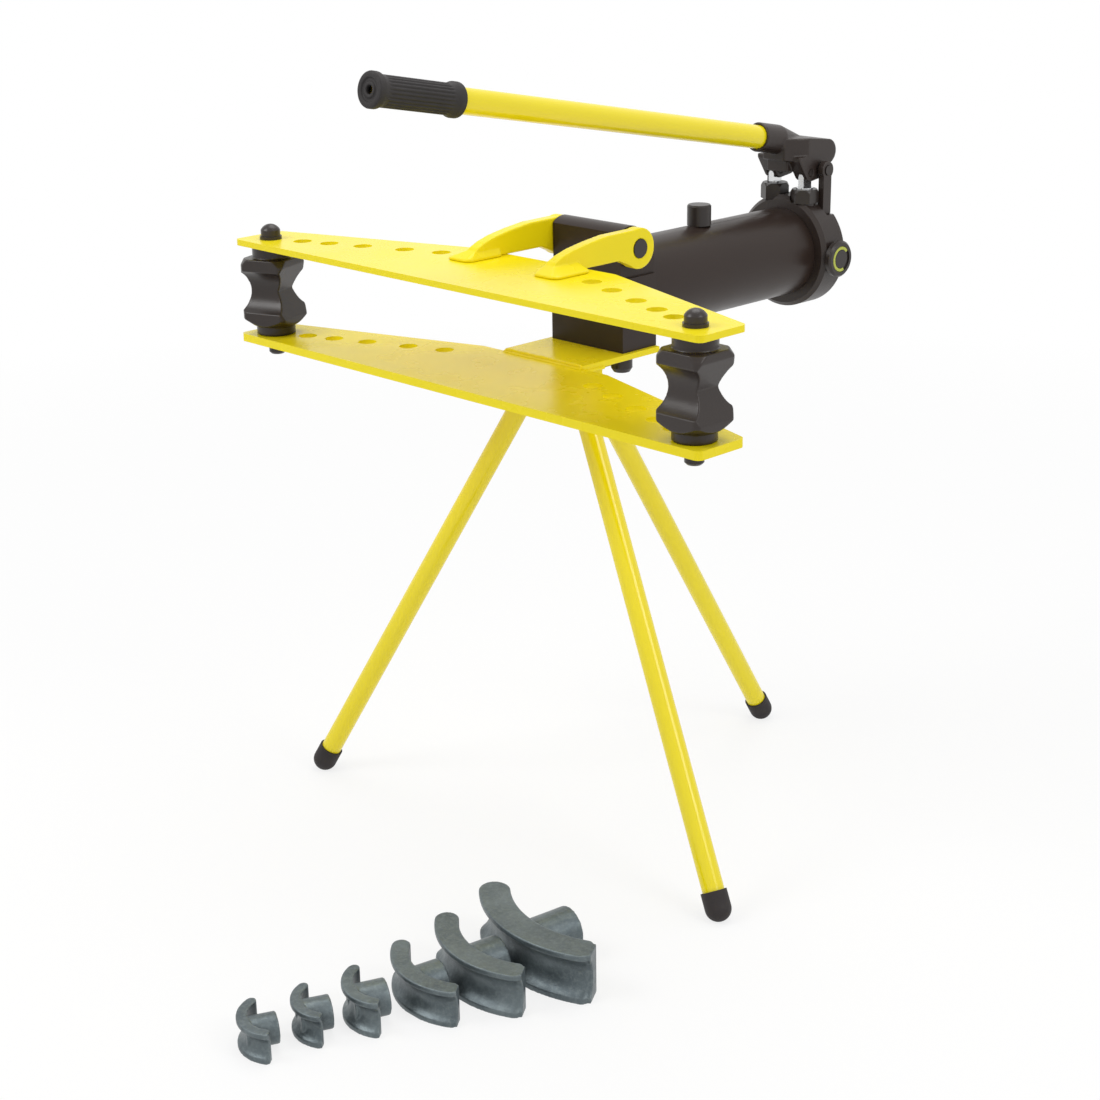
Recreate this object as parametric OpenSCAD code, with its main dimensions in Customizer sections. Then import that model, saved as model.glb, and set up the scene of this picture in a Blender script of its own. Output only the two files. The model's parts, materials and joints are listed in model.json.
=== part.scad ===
// Manual hydraulic pipe bender on a tripod, with its set of six bending dies.
// Millimetres. X runs along the wings, +Y from the wings to the pump, Z up, floor at z = 0.
// Sizes below are measured from the wings: y from their front edge, z from the lower wing's top face.

/* [Stand] */
// Height of the lower wing's top face above the floor
wing_top_z = 465; // [445:1:485]
// Where the wings' front edge lies in the part's own frame
wing_front_y = -80.2; // [-90:0.1:-60]
// Outer radius of a leg tube
leg_r = 10.5; // [9:0.25:12]
// Wall of a leg tube
leg_wall = 2; // [1.5:0.25:3]
// Outer radius of a rubber foot
foot_r = 12.4; // [12:0.1:14]
// Length of foot pushed over the tube
foot_grip = 14; // [12:1:20]
// Wall of a leg socket
socket_wall = 3.5; // [3:0.5:4]
// Depth of a leg socket below the tripod head
socket_drop = 38; // [32:1:42]
// Thickness of the tripod head plate
head_plate_t = 8; // [6:1:10]

/* [Wings] */
// Length of the wings
wing_length = 620; // [600:2:640]
// Length of the short end edges
wing_end_depth = 57; // [54:1:60]
// Distance from the front edge to the rear edge
wing_depth = 128; // [126:1:130]
// Half length of the upper wing's rear edge
upper_rear_half = 95; // [90:1:100]
// Half length of the lower wing's rear edge
lower_rear_half = 84; // [80:1:90]
// Thickness of the lower wing
lower_wing_t = 8; // [6:1:10]
// Thickness of the upper wing
upper_wing_t = 6; // [5:1:8]
// Clear height between the wings
wing_gap = 90; // [88:1:92]
// Corner radius of the wings
wing_corner_r = 6; // [4:1:9]
// Radius of the pin holes
pin_hole_r = 9.25; // [9:0.05:9.6]

/* [Pivots] */
// Distance of the pivot pins from the wings' ends
pivot_inset = 27; // [24:1:30]
// Distance of the pivot pins from the front edge
pivot_y = 25; // [22:1:28]
// Radius of a pivot pin
pivot_pin_r = 8.5; // [8:0.1:8.8]
// Running clearance round pins and rods
running = 0.05; // [0.03:0.01:0.08]
// Radius of a pivot block's end collars
collar_r = 19.5; // [18:0.5:22]
// Height of a pivot block's end collars
collar_h = 10; // [8:1:12]
// Side of a pivot block's square body
block_side = 49; // [47:0.5:50]
// How far a pivot pin stands out below the lower wing
pin_tip = 13; // [10:1:16]

/* [Head and arms] */
// Half width of the head block
block_half = 45; // [43:1:46]
// Front face of the head block
block_front_y = 187; // [184:1:188]
// Rear face of the head block
block_rear_y = 234; // [232:1:236]
// Top face of the seat plate
seat_z = 3; // [2:0.5:4]
// Thickness of the seat plate
seat_t = 6; // [5:0.5:8]
// Half width of the seat plate
seat_half = 53; // [50:1:56]
// Hinge axis behind the front edge
hinge_y = 201; // [200:1:204]
// Hinge axis above the lower wing
hinge_z = 104; // [103:1:106]
// Radius of the hinge pin
hinge_pin_r = 9; // [8:0.25:10]
// Radius of the head block's rounded top
block_top_r = 20; // [19:0.5:22]
// Half width of the head block's base
base_half = 48; // [46:0.5:50]
// Radius of the hinge arms' eyes
eye_r = 19.5; // [18:0.5:21]
// Thickness of a hinge arm
arm_t = 12; // [10:1:14]
// Side clearance between a hinge arm and the head block
arm_gap = 1; // [0.5:0.25:2]

/* [Cylinder] */
// Height of the cylinder's axis above the lower wing
axis_z = 52.5; // [50:0.5:54]
// Outer radius of the reservoir tube
reservoir_r = 46; // [44:0.5:47]
// Wall of the reservoir tube
reservoir_wall = 4; // [3:0.5:5]
// Front face of the pump body
body_front_y = 481; // [478:1:484]
// Radius of the pump body
body_r = 59; // [58:0.5:61]
// Length of the pump body
body_length = 35; // [34:0.5:36]
// Bore radius of the cylinder barrel
bore_r = 26; // [25:0.5:27]
// Wall of the cylinder barrel
barrel_wall = 7; // [6:0.5:8]
// Radius of the ram
ram_r = 17; // [16:0.5:18]
// Bore of the hollow ram
ram_bore_r = 11; // [10:0.5:12]
// Radius of the ram's nose
nose_r = 9; // [8.5:0.1:9]
// Radius of the bores that fit over the nose
die_bore_r = 9.15; // [9.1:0.05:9.3]
// How far the nose stands out of the head block
nose_length = 16; // [12:1:20]
// Length of the piston
piston_length = 18; // [14:1:22]

/* [Pump] */
// Distance of each plunger from the middle
plunger_x = 20; // [19:0.5:20.5]
// Plungers behind the pump body's front face
plunger_back = 13; // [12.5:0.25:13.5]
// Radius of the high-pressure plunger
small_plunger_r = 6; // [5:0.25:7]
// Radius of the low-pressure plunger
large_plunger_r = 9; // [8:0.25:9.5]
// Width across flats of the gland nuts
gland_flats = 26; // [24:0.5:26.5]
// Fulcrum behind the pump body's front face
fulcrum_back = 29; // [28.5:0.25:29.5]
// Fulcrum above the cylinder's axis
fulcrum_rise = 85.5; // [85:0.25:86]
// Radius of the fulcrum pin
fulcrum_pin_r = 5; // [4.5:0.25:5.5]
// Angle of the handle above level
handle_angle = 10.6; // [8:0.2:13]
// Outer radius of the handle tube
handle_r = 12; // [11:0.25:12.5]
// Wall of the handle tube
handle_wall = 2.5; // [2:0.25:3.5]
// Handle length from the socket's mouth to the grip
handle_length = 420.7; // [400:0.1:440]
// Length of the grip
grip_length = 100; // [92:1:108]
// Depth of the handle socket
socket_depth = 34; // [28:1:36]

/* [Hidden] */
$fn = 96;
yellow = [0.93, 0.86, 0.12];
black = [0.1, 0.09, 0.09];
satin = [0.16, 0.16, 0.17];
steel = [0.72, 0.72, 0.72];
rubber = [0.09, 0.09, 0.09];
iron = [0.3, 0.33, 0.34];
brass = [0.75, 0.6, 0.25];
upper_bottom = wing_gap;
upper_top = wing_gap + upper_wing_t;
arm_inner = block_half + arm_gap;
arm_outer = arm_inner + arm_t;
body_rear_y = body_front_y + body_length;
barrel_r = bore_r + barrel_wall;
barrel_front_y = block_rear_y - 7;
barrel_rear_y = body_front_y + 6;
ram_rear_y = body_front_y - 7;
washer_t = 1;
pivot_x = wing_length / 2 - pivot_inset;
plunger_y = body_front_y + plunger_back;
fulcrum_y = body_front_y + fulcrum_back;
fulcrum_z = axis_z + fulcrum_rise;
fulcrum_lug_r = 9;
plunger_pin_z = fulcrum_z - 2;
plunger_pin_r = 3.5;
plunger_lug_r = 9;
chamber_z = axis_z + 29.5;
packing_z = axis_z + 35.5;
gland_z = axis_z + 39.5;
gland_seat_z = axis_z + 52.5;
gland_thread_r = 12;
small_gland_top = axis_z + 69.5;
large_gland_top = axis_z + 66.5;
cheek_in = plunger_x - 7.5;
cheek_out = plunger_x + 8.5;
post_in = cheek_out + 2.5;
post_out = post_in + 7;
post_seat_z = axis_z + 39.5;
post_front_y = fulcrum_y - 7;
post_depth = body_front_y + body_length - post_front_y;
mouth_y = body_front_y - 42.2;
mouth_z = axis_z + 124.3;
bar_front_y = body_front_y - 15;
bar_end_y = body_front_y + 41;
bar_end_z = axis_z + 102.7;
bar_end_r = 13;
bar_half = cheek_out;
rocker_swing = 35;
valve_y = body_front_y + 17;
valve_z = axis_z - 2.5;
filler_y = body_front_y - 131;
hub = [0, 154, 26.6];
left_foot = [-231, 9, -wing_top_z];
right_foot = [291, 60, -wing_top_z];
rear_foot = [27, 439, -wing_top_z];
head_plate_top = -lower_wing_t;
head_plate_bottom = head_plate_top - head_plate_t;
leg_start_z = head_plate_bottom - 8;
hole_x = [for (d = [35, 64, 100, 144, 182]) pivot_x - d];
bolt_x = 36;
bolt_y = block_front_y + 11;

module from_wings() {
    translate([0, wing_front_y, wing_top_z]) children();
}

// Turns a shape drawn along Z so that it runs along +Y from y0.
module along_y(y0) {
    translate([0, y0, 0]) rotate([-90, 0, 0]) children();
}

module along_x(x0) {
    translate([x0, 0, 0]) rotate([0, 90, 0]) children();
}

module on_cylinder_axis(y0) {
    translate([0, 0, axis_z]) along_y(y0) children();
}

module mirrored_x() {
    children();
    mirror([1, 0, 0]) children();
}

// Corner arc of a convex outline: from the edge a-b to the edge b-c.
function unit(v) = v / norm(v);
function corner_arc(a, b, c, r) =
    let (
        u = unit(a - b),
        w = unit(c - b),
        half = acos(u * w) / 2,
        middle = b + unit(u + w) * r / sin(half),
        first = b + u * r / tan(half) - middle,
        sweep = 180 - 2 * half,
        turn = sign(u[0] * w[1] - u[1] * w[0])
    )
    [for (i = [0 : 5]) let (q = -turn * sweep * i / 5)
        middle + [first[0] * cos(q) - first[1] * sin(q), first[0] * sin(q) + first[1] * cos(q)]];
function rounded(points, r) =
    let (n = len(points))
    [for (i = [0 : n - 1]) each corner_arc(points[(i + n - 1) % n], points[i], points[(i + 1) % n], r)];

module wing_outline(rear_half) {
    half = wing_length / 2;
    polygon(rounded([
        [-half, 0], [half, 0], [half, wing_end_depth], [rear_half, wing_depth],
        [-rear_half, wing_depth], [-half, wing_end_depth]
    ], wing_corner_r));
}

function hole_y(x) = pivot_y + (pivot_x - x) * 0.363;

module pin_holes(z, t) {
    mirrored_x() {
        translate([pivot_x, pivot_y, z - 1]) cylinder(r = pin_hole_r, h = t + 2);
        for (x = hole_x) translate([x, hole_y(x), z - 1]) cylinder(r = pin_hole_r, h = t + 2);
    }
}

module lower_wing() {
    color(yellow) from_wings() difference() {
        translate([0, 0, -lower_wing_t]) linear_extrude(lower_wing_t) wing_outline(lower_rear_half);
        pin_holes(-lower_wing_t, lower_wing_t);
    }
}

module upper_wing() {
    color(yellow) from_wings() difference() {
        translate([0, 0, upper_bottom]) linear_extrude(upper_wing_t) wing_outline(upper_rear_half);
        pin_holes(upper_bottom, upper_wing_t);
    }
}

module seat_plate() {
    color(yellow) from_wings() difference() {
        union() {
            translate([-seat_half, wing_depth, seat_z - seat_t])
                cube([2 * seat_half, block_rear_y - wing_depth, seat_t]);
            // Weld bead along the wing's rear edge
            translate([seat_half, 0, 0]) rotate([0, -90, 0]) linear_extrude(2 * seat_half)
                polygon([[0, wing_depth - 5], [0, wing_depth + 1], [seat_z, wing_depth + 1], [seat_z, wing_depth]]);
        }
        mirrored_x() translate([bolt_x, bolt_y, seat_z - seat_t - 1]) cylinder(r = 6, h = seat_t + 2);
    }
}

module seat_ribs() {
    color(yellow) from_wings() mirrored_x()
        translate([44, wing_depth, head_plate_top]) cube([6, 29, seat_z - seat_t - head_plate_top]);
}

module block_bolts() {
    color(black) from_wings() mirrored_x() translate([bolt_x, bolt_y, 0]) {
        translate([0, 0, seat_z - seat_t - 15]) difference() {
            union() {
                cylinder(r1 = 8, r2 = 10.5, h = 4);
                translate([0, 0, 4]) cylinder(r = 10.5, h = 11);
            }
            translate([0, 0, -1]) cylinder(r = 5.2, h = 8, $fn = 6);
        }
        translate([0, 0, seat_z - seat_t]) cylinder(r = 6, h = seat_t + 22);
    }
}

module head_block() {
    color(black) from_wings() difference() {
        intersection() {
            union() {
                translate([-block_half, block_front_y, seat_z])
                    cube([2 * block_half, block_rear_y - block_front_y, axis_z + reservoir_r - seat_z]);
                translate([-base_half, block_front_y, seat_z])
                    cube([2 * base_half, block_rear_y - block_front_y, axis_z + 22 - seat_z]);
                translate([0, hinge_y, hinge_z]) along_x(-block_half)
                    cylinder(r = block_top_r, h = 2 * block_half);
            }
            translate([-base_half - 1, block_front_y, seat_z])
                cube([2 * base_half + 2, block_rear_y - block_front_y, 200]);
        }
        translate([0, hinge_y, hinge_z]) along_x(-block_half - 1)
            cylinder(r = hinge_pin_r + running, h = 2 * block_half + 2);
        on_cylinder_axis(block_front_y - 1) cylinder(r = ram_r + 5, h = barrel_front_y - block_front_y);
        on_cylinder_axis(barrel_front_y - 2 * washer_t) cylinder(r = ram_r + 0.5, h = 10);
        on_cylinder_axis(barrel_front_y - washer_t) cylinder(r = barrel_r, h = 20);
        mirrored_x() translate([bolt_x, bolt_y, seat_z - 1]) cylinder(r = 6, h = 24);
    }
}

// Arm outline seen from the side: foot on the upper wing, eye round the hinge pin.
module arm_outline() {
    difference() {
        union() {
            polygon([
                [82, upper_top], [83, upper_top + 6], [88, upper_top + 11], [98, upper_top + 15.5],
                [112, upper_top + 19.5], [132, upper_top + 23], [156, upper_top + 26], [hinge_y - 6, hinge_z + 18.5],
                [hinge_y + 6, hinge_z], [hinge_y - 12, hinge_z - 15], [173, upper_top], [135, upper_top]
            ]);
            translate([hinge_y, hinge_z]) circle(r = eye_r);
        }
        translate([hinge_y, hinge_z]) circle(r = hinge_pin_r + running);
    }
}

module hinge_arm() {
    translate([arm_inner, 0, 0]) rotate([90, 0, 90]) linear_extrude(arm_t) arm_outline();
    // Broad foot, spread over the wing and drawn up into the arm
    hull() {
        for (x = [arm_inner + 4, arm_outer + 8], y = [80, 112])
            translate([x, y, upper_top]) cylinder(r = 8, h = 2.5, $fn = 40);
        translate([arm_inner + 1, 86, upper_top]) cube([arm_t - 2, 30, 9]);
    }
}

module right_hinge_arm() {
    color(yellow) from_wings() hinge_arm();
}

module left_hinge_arm() {
    color(yellow) from_wings() mirror([1, 0, 0]) hinge_arm();
}

module hinge_pin() {
    color(black) from_wings() translate([0, hinge_y, hinge_z]) {
        along_x(-arm_outer) cylinder(r = hinge_pin_r, h = 2 * arm_outer + 0.5);
        along_x(-arm_outer - 5.2) cylinder(r = hinge_pin_r + 5, h = 5);
        along_x(-arm_outer - 0.2) cylinder(r = hinge_pin_r, h = 1);
    }
}

module reservoir_tube() {
    length = body_front_y - block_rear_y;
    color(black) from_wings() difference() {
        on_cylinder_axis(block_rear_y) cylinder(r = reservoir_r, h = length);
        on_cylinder_axis(block_rear_y - 1) cylinder(r = reservoir_r - reservoir_wall, h = length + 2);
        translate([0, filler_y, axis_z + reservoir_r - 10]) cylinder(r = 6 + running, h = 20);
    }
}

module cylinder_barrel() {
    length = barrel_rear_y - barrel_front_y;
    color(steel) from_wings() difference() {
        on_cylinder_axis(barrel_front_y) cylinder(r = barrel_r, h = length);
        on_cylinder_axis(barrel_front_y - 1) cylinder(r = bore_r, h = length + 2);
    }
}

module barrel_washers() {
    color(brass) from_wings() for (y = [barrel_front_y - washer_t, barrel_rear_y]) difference() {
        on_cylinder_axis(y) cylinder(r = barrel_r, h = washer_t);
        on_cylinder_axis(y - 1) cylinder(r = bore_r, h = washer_t + 2);
    }
}

module rod_bush() {
    color(brass) from_wings() difference() {
        on_cylinder_axis(block_front_y + 4) cylinder(r = ram_r + 5, h = barrel_front_y - block_front_y - 6);
        on_cylinder_axis(block_front_y) cylinder(r = ram_r + running, h = 60);
    }
}

module rod_wiper() {
    color(rubber) from_wings() difference() {
        on_cylinder_axis(block_front_y) cylinder(r = ram_r + 5, h = 4);
        on_cylinder_axis(block_front_y - 1) cylinder(r = ram_r + running, h = 6);
    }
}

module ram() {
    color(steel) from_wings() difference() {
        union() {
            on_cylinder_axis(block_front_y - nose_length) cylinder(r1 = nose_r - 1.5, r2 = nose_r, h = 1.5);
            on_cylinder_axis(block_front_y - nose_length + 1.5) cylinder(r = nose_r, h = nose_length);
            on_cylinder_axis(block_front_y) cylinder(r = ram_r, h = ram_rear_y - block_front_y);
            on_cylinder_axis(ram_rear_y - piston_length) cylinder(r = bore_r - 2 * running, h = piston_length);
        }
        on_cylinder_axis(block_front_y + 15) cylinder(r = ram_bore_r, h = 400);
        on_cylinder_axis(ram_rear_y - 12) difference() {
            cylinder(r = bore_r + 1, h = 6);
            translate([0, 0, -1]) cylinder(r = bore_r - 4, h = 8);
        }
        translate([0, block_front_y + 22, axis_z]) along_x(-ram_r - 1) cylinder(r = 3, h = 2 * ram_r + 2);
    }
}

module piston_ring() {
    color(rubber) from_wings() on_cylinder_axis(ram_rear_y - 12) difference() {
        cylinder(r = bore_r - running, h = 6);
        translate([0, 0, -1]) cylinder(r = bore_r - 4, h = 8);
    }
}

module ram_spring_pin() {
    color(steel) from_wings() translate([0, block_front_y + 22, axis_z])
        along_x(-ram_r + 0.5) cylinder(r = 3, h = 2 * ram_r - 1);
}

module return_spring() {
    front = block_front_y + 25;
    length = body_front_y - 12 - front;
    coils = 24;
    color(steel) from_wings() on_cylinder_axis(front)
        linear_extrude(length, twist = 360 * coils, slices = coils * 10, $fn = 6) translate([7.5, 0]) circle(r = 1.5);
}

module spring_anchor() {
    color(steel) from_wings() {
        on_cylinder_axis(body_front_y - 12) cylinder(r = 9.2, h = 3);
        on_cylinder_axis(body_front_y - 9) cylinder(r = 5, h = 26);
    }
}

module pump_body() {
    color(black) from_wings() difference() {
        union() {
            on_cylinder_axis(body_front_y) cylinder(r1 = body_r - 4, r2 = body_r, h = 4);
            on_cylinder_axis(body_front_y + 4) cylinder(r = body_r, h = body_length - 6);
            on_cylinder_axis(body_rear_y - 2) cylinder(r1 = body_r, r2 = body_r - 2, h = 2);
        }
        on_cylinder_axis(body_front_y - 1) cylinder(r = barrel_r, h = barrel_rear_y + washer_t - body_front_y + 1);
        on_cylinder_axis(body_front_y) cylinder(r = 5, h = 17);
        plunger_bore(-1, small_plunger_r);
        plunger_bore(1, large_plunger_r);
        // Pockets for the fulcrum posts
        mirrored_x() translate([post_in, post_front_y, post_seat_z]) cube([30, post_depth, 40]);
        // Release valve bore
        translate([0, valve_y, valve_z]) along_x(36) cylinder(r = 5 + running, h = 40);
        translate([0, valve_y, valve_z]) along_x(30) cylinder(r = 1.5, h = 10);
    }
}

module plunger_bore(side, r) {
    translate([side * plunger_x, plunger_y, 0]) {
        translate([0, 0, chamber_z]) cylinder(r = r + running, h = 60);
        translate([0, 0, packing_z]) cylinder(r = gland_thread_r, h = 60);
        translate([0, 0, gland_seat_z]) cylinder(r = gland_flats / 2 + 2.2, h = 60);
        translate([0, 0, chamber_z - 8]) cylinder(r = 3.3, h = 9);
        translate([0, 0, chamber_z - 17]) cylinder(r = 1.5, h = 10);
    }
    // Ducts: discharge into the barrel, suction from the reservoir
    translate([side * plunger_x, 0, chamber_z - 16]) along_y(body_front_y - 1)
        cylinder(r = 1.5, h = plunger_y - body_front_y + 1);
    translate([side * plunger_x, 0, chamber_z + 2.5]) along_y(body_front_y - 1) cylinder(r = 1.5, h = 12);
}

module discharge_balls() {
    color(steel) from_wings() for (side = [-1, 1])
        translate([side * plunger_x, plunger_y, chamber_z - 5]) sphere(r = 3);
}

module filler_knob() {
    color(black) from_wings() translate([0, filler_y, 0]) {
        translate([0, 0, axis_z + reservoir_r + 0.2]) cylinder(r = 12.2, h = 19.3);
        translate([0, 0, axis_z + reservoir_r + 19.5]) cylinder(r1 = 12.2, r2 = 11, h = 1.5);
        translate([0, 0, axis_z + reservoir_r - 8]) cylinder(r = 6, h = 9);
    }
}

module release_valve_stem() {
    color(steel) from_wings() translate([0, valve_y, valve_z]) {
        along_x(36.2) cylinder(r1 = 1, r2 = 5, h = 5);
        along_x(41.2) cylinder(r = 5, h = body_r + 6 - 41.2);
    }
}

module release_valve_knob() {
    color(black) from_wings() translate([0, valve_y, valve_z]) difference() {
        union() {
            along_x(body_r + 1) cylinder(r = 17.5, h = 2);
            along_x(body_r + 3) cylinder(r = 19, h = 4);
            along_x(body_r + 7) cylinder(r1 = 19, r2 = 17, h = 2);
        }
        along_x(body_r) cylinder(r = 5, h = 6);
        // Round groove in the knob's face
        along_x(body_r + 7.5) difference() {
            cylinder(r = 13.5, h = 5);
            translate([0, 0, -1]) cylinder(r = 9.5, h = 7);
        }
    }
}

module gland_nut(side, r, top) {
    translate([side * plunger_x, plunger_y, 0]) difference() {
        union() {
            translate([0, 0, gland_z]) cylinder(r = gland_thread_r, h = gland_seat_z - gland_z);
            intersection() {
                translate([0, 0, gland_seat_z]) rotate([0, 0, 30])
                    cylinder(r = gland_flats / sqrt(3), h = top - gland_seat_z, $fn = 6);
                translate([0, 0, top - 30]) cylinder(r1 = 30, r2 = gland_flats / 2, h = 30);
            }
        }
        translate([0, 0, gland_z - 1]) cylinder(r = r + running, h = 60);
    }
}

module small_gland_nut() {
    color(black) from_wings() gland_nut(-1, small_plunger_r, small_gland_top);
}

module large_gland_nut() {
    color(black) from_wings() gland_nut(1, large_plunger_r, large_gland_top);
}

module packing(side, r) {
    translate([side * plunger_x, plunger_y, packing_z]) difference() {
        cylinder(r = gland_thread_r, h = gland_z - packing_z);
        translate([0, 0, -1]) cylinder(r = r + running, h = 8);
    }
}

module small_packing() {
    color(rubber) from_wings() packing(-1, small_plunger_r);
}

module large_packing() {
    color(rubber) from_wings() packing(1, large_plunger_r);
}

// Plunger with a flat head; the slot lets the rocker's pin swing through its arc.
module plunger(side, r, shoulder) {
    translate([side * plunger_x, plunger_y, 0]) difference() {
        union() {
            translate([0, 0, chamber_z + 1.5]) cylinder(r = r, h = shoulder - chamber_z - 1.5);
            translate([-3.5, -6.5, shoulder - 0.5]) cube([7, 13, plunger_pin_z - shoulder + 0.5]);
            translate([0, 0, plunger_pin_z]) along_x(-3.5) cylinder(r = 6.5, h = 7);
        }
        translate([-5, 0, plunger_pin_z - plunger_pin_r - 0.4]) cube([10, 1.5, 2 * plunger_pin_r + 0.8]);
        for (y = [0, 1.5]) translate([0, y, plunger_pin_z]) along_x(-5) cylinder(r = plunger_pin_r + 0.4, h = 10);
    }
}

module small_plunger() {
    color(steel) from_wings() plunger(-1, small_plunger_r, small_gland_top + 1.5);
}

module large_plunger() {
    color(steel) from_wings() plunger(1, large_plunger_r, large_gland_top + 1.5);
}

module plunger_pins() {
    color(steel) from_wings() mirrored_x()
        translate([0, plunger_y, plunger_pin_z]) along_x(cheek_in) cylinder(r = plunger_pin_r, h = cheek_out - cheek_in);
}

module in_handle_frame() {
    translate([0, mouth_y, mouth_z]) rotate([90 - handle_angle, 0, 0]) children();
}

// Rocker's solid bar seen from the side: level front, sloping top and a round rear end.
module bar_profile() {
    polygon([
        [bar_front_y, bar_end_z - 5.2], [bar_front_y, bar_end_z + 17.6], [bar_front_y + 24, bar_end_z + 17.2],
        [bar_end_y, bar_end_z + bar_end_r], [bar_end_y, bar_end_z - bar_end_r]
    ]);
    translate([bar_end_y, bar_end_z]) circle(r = bar_end_r);
}

// The same bar seen from above: narrow at the handle's socket, then widened by two shoulders.
module bar_plan() {
    polygon([
        [-14.2, bar_front_y], [14.2, bar_front_y], [bar_half, bar_front_y + 22], [bar_half, bar_end_y + 20],
        [-bar_half, bar_end_y + 20], [-bar_half, bar_front_y + 22]
    ]);
}

// Lug that hangs from the bar round a plunger pin and the fulcrum pin.
module lug_outline() {
    hull() {
        translate([plunger_y, plunger_pin_z]) circle(r = plunger_lug_r);
        translate([fulcrum_y, fulcrum_z]) circle(r = fulcrum_lug_r);
        translate([bar_front_y + 8, bar_end_z - 5.5]) square([bar_end_y - bar_front_y - 8, 4]);
    }
}

// Room for a plunger's flat head as the rocker swings over it.
module head_room() {
    lean = [sin(rocker_swing), -cos(rocker_swing)];
    across = [cos(rocker_swing), sin(rocker_swing)];
    translate([plunger_x - 3.9, plunger_y, plunger_pin_z]) {
        along_x(0) cylinder(r = 9.6, h = 7.8);
        rotate([90, 0, 90]) linear_extrude(7.8)
            polygon([[-9, 2], [-9, -30], lean * 30 - across * 9, lean * 30 + across * 7.2, across * 7.2 - lean * 5]);
    }
}

module rocker() {
    color(black) from_wings() difference() {
        union() {
            intersection() {
                translate([-60, 0, 0]) rotate([90, 0, 90]) linear_extrude(120) bar_profile();
                translate([0, 0, axis_z]) linear_extrude(200) bar_plan();
            }
            mirrored_x() translate([cheek_in, 0, 0]) rotate([90, 0, 90]) linear_extrude(cheek_out - cheek_in) lug_outline();
            // Web between the lugs, in front of the plungers
            translate([-cheek_in - 1, bar_front_y + 6, plunger_pin_z + 2])
                cube([2 * cheek_in + 2, 28, bar_end_z - plunger_pin_z]);
            in_handle_frame() {
                translate([0, 0, -32]) cylinder(r = 15, h = 32);
                translate([0, 0, -84]) cylinder(r1 = 3.5, r2 = 15, h = 52);
            }
        }
        in_handle_frame() translate([0, 0, -socket_depth]) cylinder(r = handle_r, h = socket_depth + 1);
        translate([0, fulcrum_y, fulcrum_z]) along_x(-60) cylinder(r = fulcrum_pin_r + running, h = 120);
        mirrored_x() head_room();
        translate([0, plunger_y, plunger_pin_z]) along_x(-60) cylinder(r = plunger_pin_r, h = 120);
    }
}

module fulcrum_posts() {
    color(black) from_wings() mirrored_x() difference() {
        union() {
            translate([post_in, post_front_y, post_seat_z]) cube([post_out - post_in, post_depth, fulcrum_z - post_seat_z]);
            translate([0, fulcrum_y, fulcrum_z]) along_x(post_in) cylinder(r = fulcrum_lug_r, h = post_out - post_in);
        }
        translate([0, fulcrum_y, fulcrum_z]) along_x(post_in - 1) cylinder(r = fulcrum_pin_r, h = 20);
    }
}

module fulcrum_pin() {
    color(steel) from_wings() translate([0, fulcrum_y, fulcrum_z]) {
        along_x(-post_out - 1) cylinder(r = fulcrum_pin_r, h = 2 * post_out + 2);
    }
}

module handle_tube() {
    color(yellow) from_wings() in_handle_frame() difference() {
        translate([0, 0, -socket_depth]) cylinder(r = handle_r, h = socket_depth + handle_length + grip_length - 5);
        translate([0, 0, -socket_depth - 1])
            cylinder(r = handle_r - handle_wall, h = socket_depth + handle_length + grip_length);
    }
}

module handle_grip() {
    end = handle_length + grip_length;
    color(rubber) from_wings() in_handle_frame() difference() {
        union() {
            translate([0, 0, handle_length]) cylinder(r = 14, h = grip_length);
            translate([0, 0, handle_length]) cylinder(r = 16, h = 7);
            translate([0, 0, handle_length + 7]) cylinder(r1 = 16, r2 = 14, h = 4);
            translate([0, 0, end - 7]) cylinder(r = 16, h = 7);
            translate([0, 0, end - 11]) cylinder(r1 = 14, r2 = 16, h = 4);
        }
        translate([0, 0, handle_length - 1]) cylinder(r = handle_r, h = grip_length - 4);
        translate([0, 0, end - 6]) cylinder(r = 4, h = 8);
        translate([0, 0, end - 1.2]) difference() {
            cylinder(r = 10.5, h = 3);
            translate([0, 0, -1]) cylinder(r = 7, h = 5);
        }
    }
}

// A pivot block: four pipe grooves of different sizes round a square body.
module groove(turn, r, depth) {
    rotate([0, 0, turn]) translate([block_side / 2 + r - depth, -50, wing_gap / 2])
        rotate([-90, 0, 0]) cylinder(r = r, h = 100);
}

// Groove with two flat flanks that meet in a crease at half height
module vee_groove(turn, half_height, depth) {
    over = half_height * (depth + 2) / depth;
    rotate([0, 0, turn]) translate([block_side / 2, 50, wing_gap / 2]) rotate([90, 0, 0])
        linear_extrude(100) polygon([[-depth, 0], [2, over], [2, -over]]);
}

module pivot_block() {
    top = wing_gap - 0.3;
    difference() {
        union() {
            translate([0, 0, 0.3]) cylinder(r = collar_r, h = top - 0.3);
            intersection() {
                translate([-block_side / 2, -block_side / 2, collar_h]) cube([block_side, block_side, wing_gap - 2 * collar_h - 2]);
                rotate_extrude() polygon([
                    [0, collar_h], [collar_r + 3, collar_h], [32, collar_h + 7], [32, wing_gap - collar_h - 8],
                    [28, wing_gap - collar_h - 2], [0, wing_gap - collar_h - 2]
                ]);
            }
        }
        groove(-90, 24, 12.5);
        vee_groove(0, 26, 12.5);
        groove(90, 20, 9);
        groove(180, 40, 5);
        cylinder(r = pivot_pin_r + running, h = 200);
    }
}

module right_pivot_block() {
    color(satin) from_wings() translate([pivot_x, pivot_y, 0]) pivot_block();
}

module left_pivot_block() {
    color(satin) from_wings() translate([-pivot_x, pivot_y, 0]) rotate([0, 0, 20]) pivot_block();
}

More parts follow.
